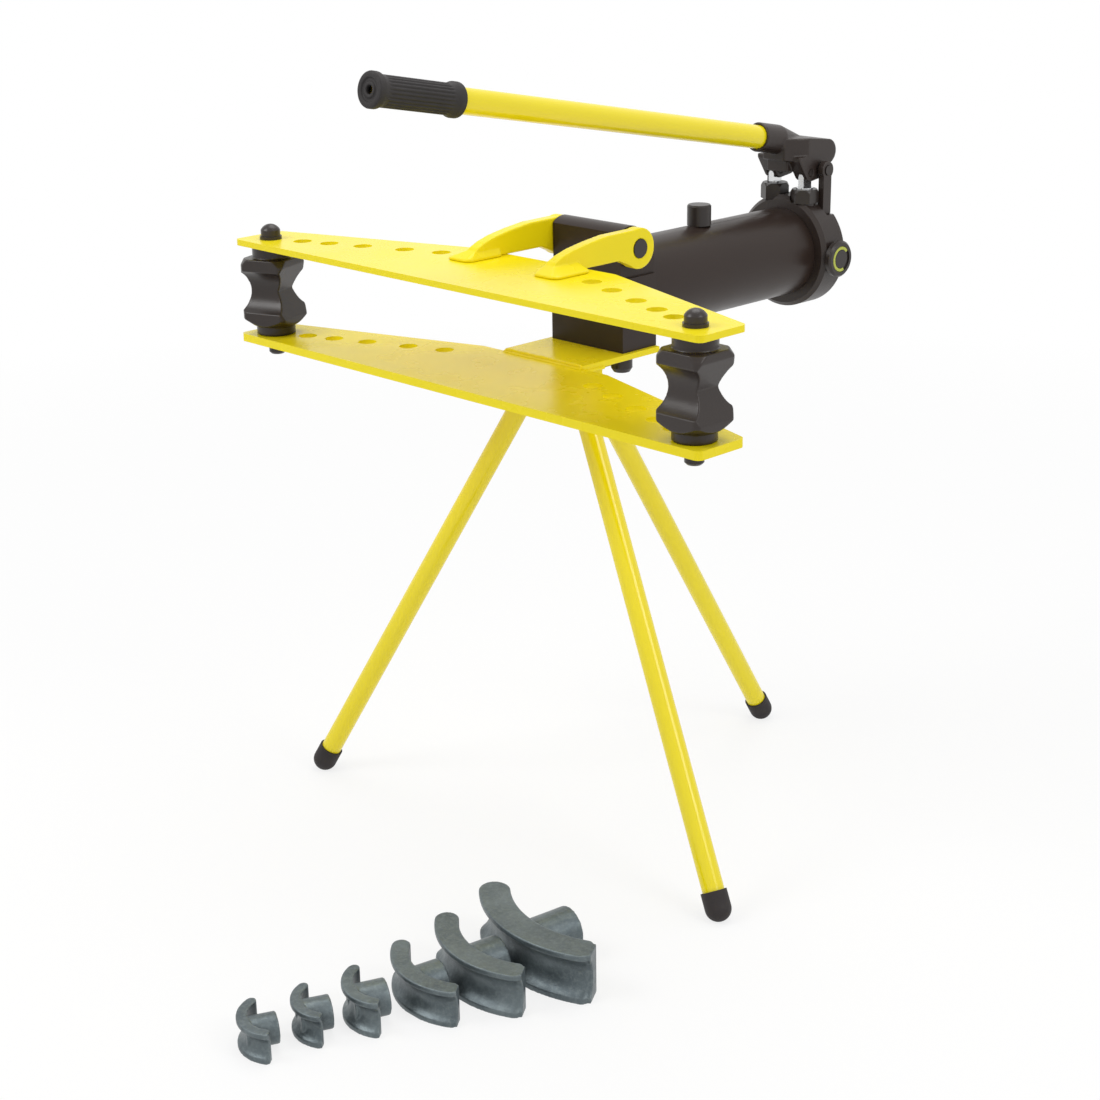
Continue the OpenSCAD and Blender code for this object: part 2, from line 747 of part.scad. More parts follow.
module pivot_pin() {
    translate([0, 0, -lower_wing_t - pin_tip + 2]) cylinder(r = pivot_pin_r, h = upper_top + lower_wing_t + pin_tip);
    translate([0, 0, -lower_wing_t - pin_tip]) cylinder(r1 = pivot_pin_r - 2, r2 = pivot_pin_r, h = 2);
    translate([0, 0, upper_top + 0.1]) cylinder(r = pivot_pin_r + 2.5, h = 3);
    translate([0, 0, upper_top + 3]) cylinder(r = pivot_pin_r + 1.2, h = 5);
    intersection() {
        translate([0, 0, upper_top + 4]) sphere(r = 11);
        translate([0, 0, upper_top + 7]) cylinder(r = pivot_pin_r + 1.2, h = 20);
    }
}

module left_pivot_pin() {
    color(black) from_wings() translate([-pivot_x, pivot_y, 0]) pivot_pin();
}

module right_pivot_pin() {
    color(black) from_wings() translate([pivot_x, pivot_y, 0]) pivot_pin();
}

function leg_azimuth(foot) = atan2(foot[1] - hub[1], foot[0] - hub[0]);
function leg_run(foot) = norm([foot[0] - hub[0], foot[1] - hub[1]]);
function leg_tilt(foot) = atan2(leg_run(foot), hub[2] - foot[2]);
// Distance down the leg at which its axis reaches height z
function leg_at(foot, z) = (hub[2] - z) / cos(leg_tilt(foot));
function tube_end(foot) = leg_at(foot, foot[2] + foot_r * 0.88) - 2;

module down_leg(foot) {
    translate(hub) rotate([0, 180 - leg_tilt(foot), leg_azimuth(foot)]) children();
}

module leg(foot) {
    start = leg_at(foot, leg_start_z);
    color(yellow) from_wings() down_leg(foot) difference() {
        translate([0, 0, start]) cylinder(r = leg_r, h = tube_end(foot) - start);
        translate([0, 0, start - 1]) cylinder(r = leg_r - leg_wall, h = tube_end(foot) - start + 2);
    }
}

module foot_cap(foot) {
    centre = leg_at(foot, foot[2] + foot_r * 0.88);
    color(rubber) from_wings() difference() {
        intersection() {
            down_leg(foot) {
                translate([0, 0, tube_end(foot) - foot_grip]) cylinder(r = foot_r, h = centre - tube_end(foot) + foot_grip);
                translate([0, 0, centre]) rotate([45, 0, 0]) sphere(r = foot_r);
            }
            translate([foot[0] - 60, foot[1] - 60, foot[2]]) cube([120, 120, 120]);
        }
        down_leg(foot) translate([0, 0, tube_end(foot) - foot_grip - 5]) cylinder(r = leg_r, h = foot_grip + 5);
    }
}

module left_leg() {
    leg(left_foot);
}

module right_leg() {
    leg(right_foot);
}

module rear_leg() {
    leg(rear_foot);
}

module left_foot_cap() {
    foot_cap(left_foot);
}

module right_foot_cap() {
    foot_cap(right_foot);
}

module rear_foot_cap() {
    foot_cap(rear_foot);
}

module tripod_head() {
    color(yellow) from_wings() translate([0, 0, head_plate_bottom]) linear_extrude(head_plate_t) polygon([
        [-50, 98], [50, 98], [50, 157], [20, 161], [20, 204], [-20, 204], [-20, 161], [-50, 157]
    ]);
}

module leg_sockets() {
    color(yellow) from_wings() for (foot = [left_foot, right_foot, rear_foot]) difference() {
        intersection() {
            down_leg(foot) translate([0, 0, leg_at(foot, head_plate_bottom) - 14])
                cylinder(r = leg_r + socket_wall, h = 14 + leg_at(foot, head_plate_bottom - socket_drop) - leg_at(foot, head_plate_bottom));
            translate([-200, -100, head_plate_bottom - 200]) cube([400, 500, 200]);
        }
        down_leg(foot) cylinder(r = leg_r, h = 400);
        down_leg(foot) screw_hole(foot, leg_r - 4);
    }
}

module screw_hole(foot, inner) {
    translate([inner, 0, leg_at(foot, head_plate_bottom - socket_drop + 12)]) rotate([0, 90, 0])
        cylinder(r = 3, h = leg_r + 12 - inner);
}

module leg_set_screws() {
    color(steel) from_wings() for (foot = [left_foot, right_foot, rear_foot]) down_leg(foot) {
        screw_hole(foot, leg_r);
        translate([leg_r + socket_wall, 0, leg_at(foot, head_plate_bottom - socket_drop + 12)]) rotate([0, 90, 0])
            translate([0, 0, 3]) cylinder(r = 5.5, h = 5, $fn = 6);
    }
}

// A bending die lying flat: grooved rim, thin web and a round boss that fits the ram's nose.
module die(centre, r, height, middle, half_span, groove_r, boss_r, boss_length) {
    band = r * 0.2 + 2;
    translate([centre[0], centre[1], -wing_top_z]) rotate([0, 0, middle]) difference() {
        union() {
            rotate([0, 0, -half_span]) rotate_extrude(angle = 2 * half_span) difference() {
                translate([r - band, 0]) square([band, height]);
                translate([r + groove_r * 0.5, height / 2]) circle(r = groove_r);
            }
            translate([r - band - boss_length, 0, height / 2]) rotate([0, 90, 0]) cylinder(r = boss_r, h = boss_length + band * 0.4);
        }
        translate([r - band - boss_length - 1, 0, height / 2]) rotate([0, 90, 0])
            cylinder(r = die_bore_r, h = boss_length + 1);
    }
}

module die_half_inch() {
    color(iron) from_wings() die([154.9, -338.7], 36, 28, -115, 62, 11, 13.5, 24);
}

module die_three_quarter_inch() {
    color(iron) from_wings() die([168.9, -294.7], 35, 30, -115, 60, 12, 14.5, 24);
}

module die_one_inch() {
    color(iron) from_wings() die([187.8, -245.9], 42.5, 33, -113, 57, 13.5, 16, 27);
}

module die_inch_and_quarter() {
    color(iron) from_wings() die([204.7, -166.4], 72.6, 34, -102.5, 47.5, 14.5, 16.5, 23);
}

module die_inch_and_half() {
    color(iron) from_wings() die([221.9, -96.6], 98, 41, -100.5, 43.5, 18, 19, 28);
}

module die_two_inch() {
    color(iron) from_wings() die([236.2, -9.4], 132.7, 47, -99, 39, 21, 20, 42);
}

lower_wing();
seat_plate();
seat_ribs();
head_block();
block_bolts();
upper_wing();
left_hinge_arm();
right_hinge_arm();
hinge_pin();
reservoir_tube();
cylinder_barrel();
barrel_washers();
rod_bush();
rod_wiper();
ram();
piston_ring();
ram_spring_pin();
return_spring();
spring_anchor();
pump_body();
discharge_balls();
filler_knob();
release_valve_stem();
release_valve_knob();
small_gland_nut();
large_gland_nut();
small_packing();
large_packing();
small_plunger();
large_plunger();
plunger_pins();
rocker();
fulcrum_posts();
fulcrum_pin();
handle_tube();
handle_grip();
left_pivot_block();
right_pivot_block();
left_pivot_pin();
right_pivot_pin();
tripod_head();
leg_sockets();
leg_set_screws();
left_leg();
right_leg();
rear_leg();
left_foot_cap();
right_foot_cap();
rear_foot_cap();
die_half_inch();
die_three_quarter_inch();
die_one_inch();
die_inch_and_quarter();
die_inch_and_half();
die_two_inch();
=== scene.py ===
"""Looks of a manual hydraulic pipe bender on a tripod, with its set of six bending dies.

Metres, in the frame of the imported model: X along the wings, +Y from the wings to the pump, Z up.
Places measured on the machine itself come from wings(), in millimetres: y from the wings' front
edge, z from the lower wing's top face.
"""

import json
import math

import bmesh
import bpy
from mathutils import Matrix, Vector

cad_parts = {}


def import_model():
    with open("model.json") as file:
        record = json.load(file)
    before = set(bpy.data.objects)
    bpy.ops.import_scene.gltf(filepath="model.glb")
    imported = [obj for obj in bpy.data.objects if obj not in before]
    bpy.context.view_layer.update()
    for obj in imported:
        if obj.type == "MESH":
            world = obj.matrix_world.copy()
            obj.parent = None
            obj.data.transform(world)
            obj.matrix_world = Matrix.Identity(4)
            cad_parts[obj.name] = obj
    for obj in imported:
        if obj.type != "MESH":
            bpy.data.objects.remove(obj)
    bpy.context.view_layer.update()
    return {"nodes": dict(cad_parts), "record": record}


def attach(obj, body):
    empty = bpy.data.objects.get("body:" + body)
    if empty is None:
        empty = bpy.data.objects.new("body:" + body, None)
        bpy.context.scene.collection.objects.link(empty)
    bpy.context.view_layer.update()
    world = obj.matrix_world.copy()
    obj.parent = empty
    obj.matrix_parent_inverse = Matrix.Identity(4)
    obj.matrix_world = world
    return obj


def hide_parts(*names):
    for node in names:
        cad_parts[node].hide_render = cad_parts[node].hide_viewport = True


WING_FRONT_Y = -80.2
WING_TOP_Z = 465.0
MM = 0.001

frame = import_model()
nodes = frame["nodes"]
node_body = {n: body for body, names in frame["record"]["behaviour"]["bodies"].items() for n in names}


def wings(x, y, z):
    return Vector((x * MM, (y + WING_FRONT_Y) * MM, (z + WING_TOP_Z) * MM))


# ---------------------------------------------------------------- materials


def add_node(tree, kind, inputs=None, **settings):
    """Adds a shader node. An input is linked where its value is a socket, and set where it isn't."""
    node = tree.nodes.new(kind)
    for name, value in settings.items():
        setattr(node, name, value)
    for name, value in (inputs or {}).items():
        if isinstance(value, bpy.types.NodeSocket):
            tree.links.new(value, node.inputs[name])
        else:
            node.inputs[name].default_value = value
    return node


class Material:
    """Adds and links the nodes of one procedural material, in object coordinates."""

    def __init__(self, name, **sockets):
        self.material = bpy.data.materials.new(name)
        self.material.use_nodes = True
        self.tree = self.material.node_tree
        self.shader = self.tree.nodes["Principled BSDF"]
        for socket, value in sockets.items():
            self.shader.inputs[socket.replace("_", " ")].default_value = value
        self.place = self.add("ShaderNodeTexCoord").outputs["Object"]

    def add(self, kind, inputs=None, **settings):
        return add_node(self.tree, kind, inputs, **settings)

    def noise(self, scale, detail, roughness, stretch=(1, 1, 1)):
        place = self.add("ShaderNodeMapping", {"Vector": self.place, "Scale": stretch}).outputs[0]
        return self.add("ShaderNodeTexNoise", {
            "Vector": place, "Scale": scale, "Detail": detail, "Roughness": roughness,
        }).outputs["Fac"]

    def ramp(self, value, *stops):
        """stops are (position, grey or colour)."""
        node = self.add("ShaderNodeValToRGB", {"Fac": value})
        ramp = node.color_ramp
        while len(ramp.elements) < len(stops):
            ramp.elements.new(0.5)
        for element, (position, colour) in zip(ramp.elements, stops):
            element.position = position
            element.color = (*colour, 1) if hasattr(colour, "__len__") else (colour, colour, colour, 1)
        return node.outputs["Color"]

    def mix(self, factor, a, b, blend="MIX"):
        """Mixes two colours, each a socket or three numbers."""
        factor_socket, a_socket, b_socket, colour_output = 0, 6, 7, 2
        inputs = {factor_socket: factor}
        for socket, colour in ((a_socket, a), (b_socket, b)):
            inputs[socket] = (*colour, 1) if isinstance(colour, tuple) else colour
        node = self.add("ShaderNodeMix", inputs, data_type="RGBA", blend_type=blend)
        return node.outputs[colour_output]

    def product(self, a, b):
        return self.add("ShaderNodeMath", {0: a, 1: b}, operation="MULTIPLY").outputs[0]

    def spread(self, value, low, high):
        """Maps the middle of a noise's range to low..high."""
        return self.add("ShaderNodeMapRange", {
            "Value": value, "From Min": 0.3, "From Max": 0.7, "To Min": low, "To Max": high,
        }).outputs[0]

    def edges(self, radius):
        """1 along the edges of the solid, 0 on its faces."""
        bevelled = self.add("ShaderNodeBevel", {"Radius": radius}, samples=6).outputs[0]
        flat = self.add("ShaderNodeNewGeometry").outputs["Normal"]
        dot = self.add("ShaderNodeVectorMath", {0: bevelled, 1: flat}, operation="DOT_PRODUCT")
        return self.add("ShaderNodeMapRange", {
            "Value": dot.outputs["Value"], "From Min": 0.99, "From Max": 0.8, "To Min": 0.0, "To Max": 1.0,
        }).outputs[0]

    def set(self, socket, value):
        self.tree.links.new(value, self.shader.inputs[socket])

    def bump(self, *layers):
        """layers are (height, strength, distance in metres), coarse to fine."""
        inputs = {}
        for height, strength, distance in layers:
            inputs.update({"Height": height, "Strength": strength, "Distance": distance})
            inputs["Normal"] = self.add("ShaderNodeBump", inputs).outputs[0]
        self.set("Normal", inputs["Normal"])


def paint(name, light, dark, roughness, peel=0.12, grain=0.0, chipped=None, gloss=0.5):
    """Sprayed enamel: slow colour drift, orange peel, and a casting's grain where grain is above 0.

    chipped is the colour that shows where the paint is rubbed off along edges.
    """
    m = Material(name, Specular_IOR_Level=gloss)
    tone = m.ramp(m.noise(4, 2, 0.5), (0.25, dark), (0.75, light))
    dust = m.noise(22, 3, 0.55)
    if chipped:
        patches = m.ramp(m.noise(90, 4, 0.7), (0.6, 0.0), (0.68, 0.7))
        tone = m.mix(m.product(m.edges(0.0012), patches), tone, chipped)
    m.set("Base Color", tone)
    m.set("Roughness", m.spread(dust, roughness - 0.03, roughness + 0.04))
    layers = [(m.noise(330, 2, 0.5), peel, 0.0004)]
    if grain:
        layers.insert(0, (m.noise(620, 4, 0.7), grain, 0.0006))
    m.bump(*layers)
    return m.material


def cast_iron():
    """Sand-cast iron with a blue-grey phosphate skin, rubbed brighter on its edges, and with painted shade
    darkening its grooves and hollows.
    """
    m = Material("cast_iron_dies", Metallic=0.55, Specular_IOR_Level=0.5)
    tone = m.ramp(m.noise(24, 5, 0.62), (0.3, (0.07, 0.09, 0.1)), (0.72, (0.14, 0.172, 0.182)))
    spots = m.ramp(m.noise(260, 5, 0.7), (0.45, 0.0), (0.7, 0.5))
    tone = m.mix(spots, tone, (0.2, 0.235, 0.24))
    rubbed = m.product(m.edges(0.003), m.spread(m.noise(60, 3, 0.6), 0.15, 0.75))
    tone = m.mix(rubbed, tone, (0.34, 0.38, 0.38))
    # Painted shade: ambient occlusion darkens the base colour in the grooves and hollows, where less light
    # falls
    painted_shade_ao = m.add("ShaderNodeAmbientOcclusion", {"Distance": 0.022}, samples=6, only_local=True)
    painted_groove_shade = m.ramp(painted_shade_ao.outputs["AO"], (0.35, 0.32), (0.85, 1.0))
    m.set("Base Color", m.mix(1.0, tone, painted_groove_shade, "MULTIPLY"))
    m.set("Roughness", m.spread(m.noise(90, 4, 0.6), 0.3, 0.46))
    m.bump((m.noise(140, 4, 0.6), 0.25, 0.0010), (m.noise(700, 4, 0.7), 0.35, 0.0005))
    return m.material


def rubber(name, scale, dark, light):
    """Dull moulded rubber, in patches of the given noise scale."""
    m = Material(name, Specular_IOR_Level=0.35)
    m.set("Base Color", m.ramp(m.noise(scale, 5, 0.65), (0.3, dark), (0.75, light)))
    m.set("Roughness", m.spread(m.noise(scale * 2, 3, 0.6), 0.55, 0.75))
    m.bump((m.noise(900, 3, 0.6), 0.2, 0.0004))
    return m.material


def metal(name, dark, light, roughness, stretch):
    """Turned or ground metal: fine lines across the stretch direction."""
    m = Material(name, Metallic=1.0)
    lines = m.noise(260, 3, 0.6, stretch)
    m.set("Base Color", m.ramp(m.noise(30, 4, 0.6), (0.3, dark), (0.7, light)))
    m.set("Roughness", m.spread(lines, roughness * 0.8, roughness * 1.3))
    m.bump((lines, 0.12, 0.0002))
    return m.material


YELLOW = paint("yellow_enamel", (0.9, 0.755, 0.006), (0.87, 0.71, 0.004), 0.26, 0.06, gloss=0.27)
YELLOW_TUBE = paint("yellow_tube_enamel", (0.89, 0.745, 0.006), (0.86, 0.7, 0.004), 0.17, 0.04, gloss=0.55)
BLACK = paint("black_enamel", (0.033, 0.0215, 0.017), (0.026, 0.0165, 0.013), 0.32, 0.08,
              chipped=(0.06, 0.05, 0.045), gloss=0.26)
BLACK_CAST = paint("black_casting", (0.03, 0.02, 0.016), (0.022, 0.0145, 0.012), 0.38, 0.14, 0.25,
                   chipped=(0.075, 0.064, 0.058), gloss=0.4)
PIVOT_CAST = paint("pivot_casting", (0.032, 0.022, 0.018), (0.022, 0.0155, 0.013), 0.3, 0.12, 0.2,
                   chipped=(0.085, 0.072, 0.064), gloss=0.4)
OXIDE = paint("black_oxide", (0.032, 0.024, 0.021), (0.022, 0.017, 0.015), 0.3, 0.06, 0.08,
              chipped=(0.1, 0.09, 0.083), gloss=0.4)
PALE_MARK = paint("pale_mark", (0.52, 0.56, 0.08), (0.42, 0.47, 0.05), 0.4)
DIE_IRON = cast_iron()
GRIP_RUBBER = rubber("grip_rubber", 45, (0.018, 0.016, 0.016), (0.034, 0.03, 0.03))
FOOT_RUBBER = rubber("foot_rubber", 60, (0.016, 0.013, 0.013), (0.036, 0.03, 0.03))
SEAL = rubber("seal_rubber", 80, (0.02, 0.02, 0.022), (0.04, 0.04, 0.042))
CHROME = metal("bright_steel", (0.62, 0.63, 0.64), (0.74, 0.75, 0.76), 0.16, (1, 1, 14))
RAM_STEEL = metal("ram_steel", (0.6, 0.6, 0.6), (0.72, 0.72, 0.72), 0.2, (1, 14, 1))
SPRING_STEEL = metal("spring_steel", (0.2, 0.2, 0.21), (0.32, 0.32, 0.33), 0.34, (1, 1, 1))
BRASS = metal("bearing_brass", (0.6, 0.4, 0.14), (0.74, 0.52, 0.2), 0.24, (1, 12, 1))

FINISHES = (
    (YELLOW, ("lower_wing", "upper_wing", "left_hinge_arm", "right_hinge_arm", "seat_plate",
              "seat_ribs", "tripod_head", "leg_sockets")),
    (YELLOW_TUBE, ("handle_tube", "left_leg", "right_leg", "rear_leg")),
    (BLACK, ("head_block", "reservoir_tube")),
    (BLACK_CAST, ("pump_body", "rocker", "fulcrum_posts")),
    (PIVOT_CAST, ("left_pivot_block", "right_pivot_block")),
    (OXIDE, ("filler_knob", "release_valve_knob", "small_gland_nut", "large_gland_nut", "hinge_pin",
             "block_bolts", "left_pivot_pin", "right_pivot_pin", "plunger_pins", "fulcrum_pin")),
    (GRIP_RUBBER, ("handle_grip",)),
    (FOOT_RUBBER, ("left_foot_cap", "right_foot_cap", "rear_foot_cap")),
    (SEAL, ("rod_wiper", "piston_ring", "small_packing", "large_packing")),
    (CHROME, ("small_plunger", "large_plunger", "discharge_balls", "release_valve_stem")),
    (RAM_STEEL, ("ram", "cylinder_barrel")),
    (SPRING_STEEL, ("barrel_washers", "return_spring", "spring_anchor", "ram_spring_pin", "leg_set_screws")),
    (BRASS, ("rod_bush",)),
    (DIE_IRON, ("die_half_inch", "die_three_quarter_inch", "die_one_inch", "die_inch_and_quarter",
                "die_inch_and_half", "die_two_inch")),
)
FINISH = {name: material for material, names in FINISHES for name in names}

# Broken edges in millimetres
BEVELS = {
    "lower_wing": 1.0, "upper_wing": 0.9, "seat_plate": 0.7, "head_block": 1.0, "tripod_head": 0.9,
    "seat_ribs": 0.6, "leg_sockets": 0.6, "reservoir_tube": 0.6, "pump_body": 1.2, "filler_knob": 1.0,
    "release_valve_knob": 0.8, "small_gland_nut": 0.5, "large_gland_nut": 0.5, "fulcrum_posts": 1.4,
    "fulcrum_pin": 0.6, "hinge_pin": 0.8, "block_bolts": 0.8, "leg_set_screws": 0.5,
    "handle_tube": 0.4, "left_pivot_pin": 0.6, "right_pivot_pin": 0.6, "ram": 0.6,
}
SMALL_BEVEL = 0.3


def smooth_shading(obj):
    obj.data.polygons.foreach_set("use_smooth", [True] * len(obj.data.polygons))
    obj.data.update()


def clear_imported_normals(obj):
    with bpy.context.temp_override(object=obj, active_object=obj, selected_objects=[obj]):
        bpy.ops.mesh.customdata_custom_splitnormals_clear()


def paint_piece(obj, material):
    obj.data.materials.clear()
    obj.data.materials.append(material)


def soften(obj, width):
    """Joins the faces that the import split, and breaks the sharp edges as a real part's are."""
    weld = obj.modifiers.new("weld", "WELD")
    weld.merge_threshold = 1e-6
    bevel = obj.modifiers.new("edges", "BEVEL")
    bevel.width, bevel.segments = width * MM, 2
    bevel.limit_method, bevel.angle_limit = "ANGLE", math.radians(28)
    bevel.use_clamp_overlap = True
    normals = obj.modifiers.new("normals", "WEIGHTED_NORMAL")
    normals.weight, normals.keep_sharp = 60, True


for name, obj in nodes.items():
    paint_piece(obj, FINISH[name])
    clear_imported_normals(obj)
    smooth_shading(obj)
    soften(obj, BEVELS.get(name, SMALL_BEVEL))


# ---------------------------------------------------------------- mesh helpers


def link(name, mesh, material, body):
    """Shows a mesh as a piece of the scene that moves with a body of the record."""
    obj = bpy.data.objects.new(name, mesh)
    bpy.context.scene.collection.objects.link(obj)
    paint_piece(obj, material)
    smooth_shading(obj)
    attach(obj, body)
    return obj


def mesh_of(points, faces, name="mesh"):
    mesh = bpy.data.meshes.new(name)
    mesh.from_pydata([tuple(p) for p in points], [], faces)
    mesh.update()
    return mesh


def rings_to_shell(rings, loop=False):
    """Joins closed rings of points, each with the same count, into a tube with two caps, or into a loop."""
    n = len(rings[0])
    points = [p for ring in rings for p in ring]
    faces = []
    for i in range(len(rings) if loop else len(rings) - 1):
        a, b = i * n, ((i + 1) % len(rings)) * n
        for j in range(n):
            k = (j + 1) % n
            faces.append((a + j, a + k, b + k, b + j))
    if not loop:
        faces.append(tuple(reversed(range(n))))
        faces.append(tuple(range((len(rings) - 1) * n, len(rings) * n)))
    return points, faces


def joined(shells):
    """One list of points and one of faces from several shells."""
    points, faces = [], []
    for shell_points, shell_faces in shells:
        base = len(points)
        points += shell_points
        faces += [tuple(base + i for i in face) for face in shell_faces]
    return points, faces


def apply_modifiers(obj):
    graph = bpy.context.evaluated_depsgraph_get()
    mesh = bpy.data.meshes.new_from_object(obj.evaluated_get(graph))
    obj.modifiers.clear()
    obj.data = mesh


def found(obj, voxel, rounds):
    """Fuses the shells of obj and rounds every edge and corner, as sand casting does."""
    remesh = obj.modifiers.new("fuse", "REMESH")
    remesh.mode, remesh.voxel_size = "VOXEL", voxel * MM
    soft = obj.modifiers.new("soft", "SMOOTH")
    soft.factor, soft.iterations = 0.5, rounds
    thin = obj.modifiers.new("thin", "DECIMATE")
    thin.ratio = 0.5
    bpy.context.view_layer.update()
    apply_modifiers(obj)
    smooth_shading(obj)


def casting_of(node, voxel, rounds):
    """A CAD node's own form with a casting's rounded edges, shown in its place."""
    source = nodes[node]
    piece = link(node + "_casting", source.data.copy(), source.data.materials[0], node_body[node])
    found(piece, voxel, rounds)
    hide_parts(node)


# ---------------------------------------------------------------- castings

for side in ("left", "right"):
    casting_of(side + "_pivot_block", 0.8, 5)
    casting_of(side + "_hinge_arm", 0.9, 6)
casting_of("rocker", 0.8, 8)


# ---------------------------------------------------------------- dies

DIES = {
    # centre x and y, rim radius, height, middle and half span in degrees, groove, boss radius and length
    "die_half_inch": (154.9, -338.7, 36, 28, -115, 62, 11, 13.5, 24),
    "die_three_quarter_inch": (168.9, -294.7, 35, 30, -115, 60, 12, 14.5, 24),
    "die_one_inch": (187.8, -245.9, 42.5, 33, -113, 57, 13.5, 16, 27),
    "die_inch_and_quarter": (204.7, -166.4, 72.6, 34, -102.5, 47.5, 14.5, 16.5, 23),
    "die_inch_and_half": (221.9, -96.6, 98, 41, -100.5, 43.5, 18, 19, 28),
    "die_two_inch": (236.2, -9.4, 132.7, 47, -99, 39, 21, 20, 42),
}
DIE_BORE_R = 9.15


def rim_profile(rim, band, height, groove):
    """Section of a die's grooved rim, as (distance from the die's centre, height) points."""
    middle = rim + groove * 0.5
    lip_angle = math.acos(-0.5)
    groove_steps = 24
    points = [(rim - band, 0), (rim - band, height), (rim, height)]
    for i in range(groove_steps + 1):
        angle = lip_angle + (2 * math.pi - 2 * lip_angle) * i / groove_steps
        points.append((middle + groove * math.cos(angle), height / 2 + groove * math.sin(angle)))
    points.append((rim, 0))
    return points


def rounding(distance, radius, least):
    """Share of the full width at a distance from an end that is rounded with radius."""
    if distance >= radius:
        return 1.0
    return max(least, math.sqrt(1 - (1 - distance / radius) ** 2))


def die_rim(rim, height, middle, half_span, groove, band):
    """The grooved rim as a sweep whose two ends are rounded as seen from above."""
    profile = rim_profile(rim, band, height, groove)
    centre_r = rim - band / 2
    length = math.radians(2 * half_span) * centre_r
    steps = 72
    rings = []
    for i in range(steps + 1):
        # Rings stand closer together near both ends
        t = i / steps
        t = t - math.sin(2 * math.pi * t) / (2 * math.pi) * 0.75
        angle = math.radians(middle - half_span + 2 * half_span * t)
        far_end = rounding(t * length, band * 0.55, 0.18)
        near_end = rounding((1 - t) * length, band * 0.3, 0.72)
        ring = []
        for r, z in profile:
            r = centre_r + (r - centre_r) * min(far_end, near_end)
            ring.append((r * math.cos(angle), r * math.sin(angle), z))
        rings.append(ring)
    return rings_to_shell(rings)


def die_boss(start, end, height, outer, inner, middle):
    """A tube whose axis runs out from the die's centre at half its height."""
    a = math.radians(middle)
    axis = Vector((math.cos(a), math.sin(a), 0))
    side = Vector((-math.sin(a), math.cos(a), 0))
    segments = 48
    rings = []
    for along, radius in ((start, inner), (start, outer), (end, outer), (end, inner)):
        ring = []
        for j in range(segments):
            turn = 2 * math.pi * j / segments
            ring.append(axis * along + side * radius * math.cos(turn)
                        + Vector((0, 0, height / 2 + radius * math.sin(turn))))
        rings.append(ring)
    return rings_to_shell(rings, loop=True)


def die(name, x, y, rim, height, middle, half_span, groove, boss_r, boss_length):
    band = rim * 0.2 + 2
    inner = rim - band
    points, faces = joined([
        die_rim(rim, height, middle, half_span, groove, band),
        die_boss(inner - boss_length, inner + band * 0.4, height, boss_r, DIE_BORE_R, middle),
    ])
    placed = [wings(x + p[0], y + p[1], p[2] - WING_TOP_Z) for p in map(Vector, points)]
    mesh = mesh_of(placed, faces, name)
    shape = bmesh.new()
    shape.from_mesh(mesh)
    bmesh.ops.recalc_face_normals(shape, faces=shape.faces)
    shape.to_mesh(mesh)
    shape.free()
    piece = link(name + "_casting", mesh, DIE_IRON, node_body[name])
    found(piece, 0.8, 7)
    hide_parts(name)


for name, sizes in DIES.items():
    die(name, *sizes)


# ---------------------------------------------------------------- handle grip

MOUTH = wings(0, 438.8, 176.8)
HANDLE_ANGLE = math.radians(10.6)
HANDLE_LENGTH = 420.7
GRIP_LENGTH = 100.0
GRIP_BORE_R = 12.05
GRIP_FLANGE_R = 16
GRIP_BODY_R = 14
FLUTES = 24
FLUTE_DEPTH = 0.9
HANDLE = Matrix.Translation(MOUTH) @ Matrix.Rotation(math.pi / 2 - HANDLE_ANGLE, 4, "X")


def fluted_lathe(profile, matrix):
    """Turns (radius, height, fluted share) points in millimetres about an axis."""
    segments = 192
    rings = []
    for radius, height, fluted in profile:
        ring = []
        for j in range(segments):
            turn = 2 * math.pi * j / segments
            r = radius - fluted * FLUTE_DEPTH * (0.5 - 0.5 * math.cos(FLUTES * turn)) ** 2
            ring.append(matrix @ Vector((r * MM * math.cos(turn), r * MM * math.sin(turn), height * MM)))
        rings.append(ring)
    return rings_to_shell(rings, loop=True)


def grip():
    start, end = HANDLE_LENGTH, HANDLE_LENGTH + GRIP_LENGTH
    bore, flange, body = GRIP_BORE_R, GRIP_FLANGE_R, GRIP_BODY_R
    inner_flange = [(bore, start, 0), (15.2, start, 0), (15.8, start + 0.4, 0), (flange, start + 1.2, 0),
                    (flange, start + 6, 0), (15.8, start + 7, 0), (14.6, start + 9.6, 0),
                    (14.1, start + 11.5, 0)]
    fluted = [(body, start + 13, 0.3), (body, start + 15, 1)]
    fluted += [(body, start + 15 + (GRIP_LENGTH - 30) * i / 20, 1) for i in range(1, 20)]
    fluted += [(body, end - 15, 1), (body, end - 13, 0.3)]
    outer_flange = [(14.1, end - 11.5, 0), (14.6, end - 9.6, 0), (15.8, end - 7, 0), (flange, end - 6, 0),
                    (flange, end - 1.6, 0), (15.7, end - 0.7, 0), (14.9, end, 0)]
    end_face = [(11.2, end, 0), (10.5, end - 0.4, 0), (10.3, end - 1.2, 0), (7.2, end - 1.2, 0),
                (7, end - 0.4, 0), (6.4, end, 0)]
    vent_hole = [(4.6, end, 0), (4, end - 0.6, 0), (4, end - 5.5, 0), (bore, end - 5.6, 0)]
    points, faces = fluted_lathe(inner_flange + fluted + outer_flange + end_face + vent_hole, HANDLE)
    piece = link("handle_grip_fluted", mesh_of(points, faces), GRIP_RUBBER, "handle")
    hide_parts("handle_grip")


grip()


# ---------------------------------------------------------------- release valve mark

VALVE_FACE = wings(67.2, 498, 50)
MARK_START, MARK_SPAN = 40, 250
# Section of the ring as (radius, height over the knob's face), in millimetres
MARK_SECTION = ((9.9, -0.6), (9.9, 0.5), (10.3, 0.9), (12.7, 0.9), (13.1, 0.5), (13.1, -0.6))


